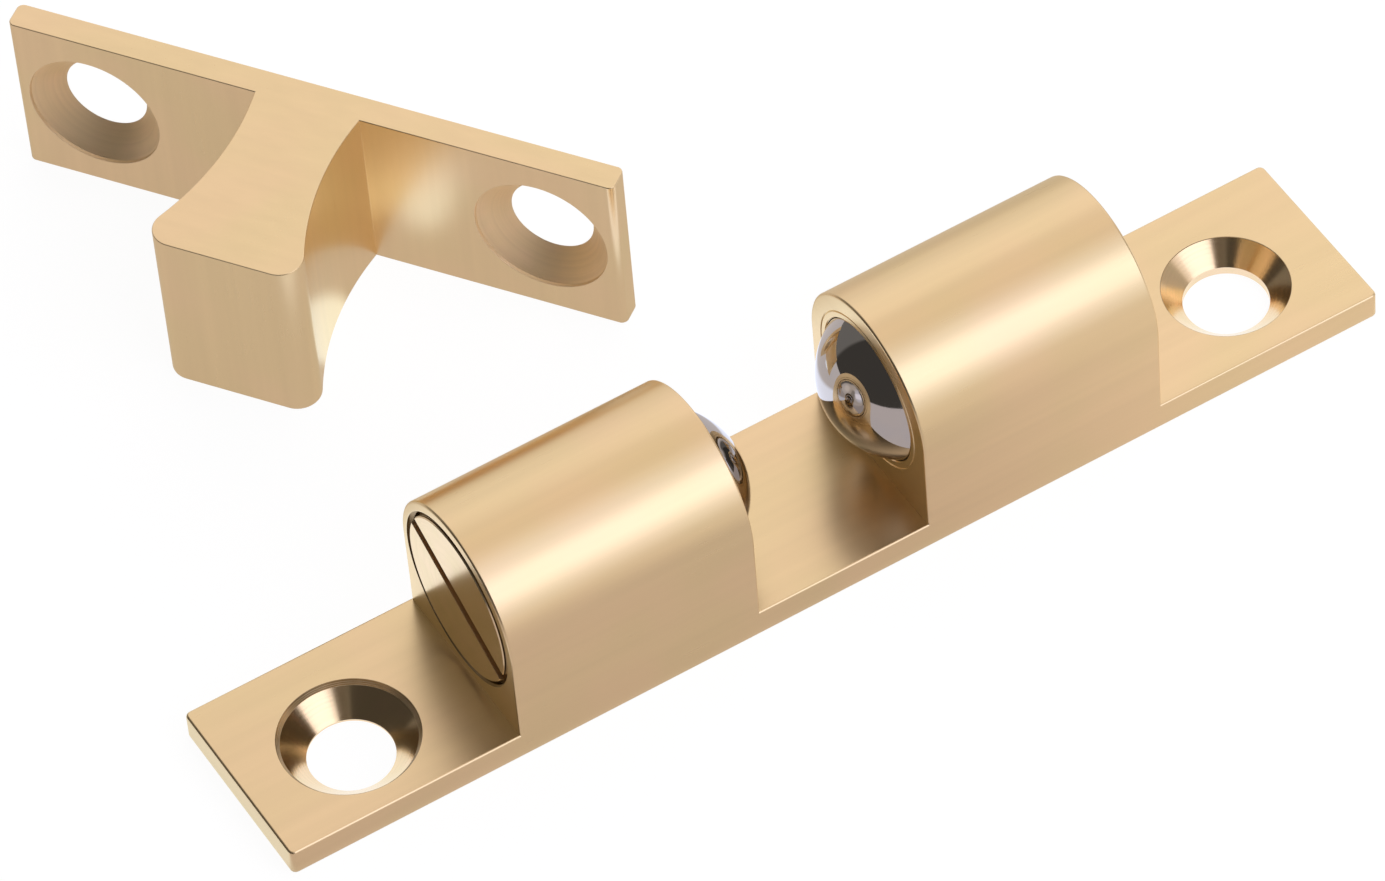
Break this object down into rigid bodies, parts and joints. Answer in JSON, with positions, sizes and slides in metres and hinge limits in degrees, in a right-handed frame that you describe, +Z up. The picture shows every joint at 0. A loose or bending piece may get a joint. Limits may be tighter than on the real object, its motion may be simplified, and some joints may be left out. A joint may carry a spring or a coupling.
{
  "type": "double ball catch",
  "caption": "Brass double ball catch: sprung steel balls in bored towers on a screw plate grip the waisted tongue of a separate strike plate.",
  "frame": {"origin": "centre of the catch's flat underside", "axes": "+X along the catch and both bores, +Z up from the mounting face; the strike stands on its T-shaped side behind, towards +Y"},
  "size_m": [0.06, 0.0463, 0.0115],
  "materials": {
    "body_brass": "satin, drawn and lightly polished",
    "strike_brass": "satin, drawn and lightly polished",
    "adjuster_brass": "fine turned face",
    "ball_steel": "polished",
    "spring_steel": "drawn wire"
  },
  "bodies": {
    "catch": {"catch_body": "body_brass", "strike_plate": "strike_brass"},
    "left_ball": {"ball_left": "ball_steel"},
    "right_ball": {"ball_right": "ball_steel"},
    "left_spring": {"spring_left": "spring_steel"},
    "right_spring": {"spring_right": "spring_steel"},
    "left_adjuster": {"adjuster_left": "adjuster_brass"},
    "right_adjuster": {"adjuster_right": "adjuster_brass"}
  },
  "joints": [
    {"name": "left_ball_press", "type": "slide", "parent": "catch", "child": "left_ball", "axis": [-1, 0, 0], "range_m": [0, 0.0015], "stiffness_N_per_m": 3100, "deforming": ["spring_left"]},
    {"name": "right_ball_press", "type": "slide", "parent": "catch", "child": "right_ball", "axis": [1, 0, 0], "range_m": [0, 0.0015], "stiffness_N_per_m": 3100, "deforming": ["spring_right"]},
    {"name": "left_adjuster_advance", "type": "slide", "parent": "catch", "child": "left_spring", "axis": [1, 0, 0], "range_m": [0, 0.001]},
    {"name": "left_adjuster_turn", "type": "hinge", "parent": "left_spring", "child": "left_adjuster", "pos_m": [-0.0176, 0, 0.0065], "axis": [1, 0, 0], "range_deg": [0, 720]},
    {"name": "right_adjuster_advance", "type": "slide", "parent": "catch", "child": "right_spring", "axis": [-1, 0, 0], "range_m": [0, 0.001]},
    {"name": "right_adjuster_turn", "type": "hinge", "parent": "right_spring", "child": "right_adjuster", "pos_m": [0.0176, 0, 0.0065], "axis": [-1, 0, 0], "range_deg": [0, 720]}
  ],
  "couplings": [
    {"joint": "left_adjuster_turn", "follows": "left_adjuster_advance", "rad_per_m": 12566},
    {"joint": "right_adjuster_turn", "follows": "right_adjuster_advance", "rad_per_m": 12566}
  ]
}
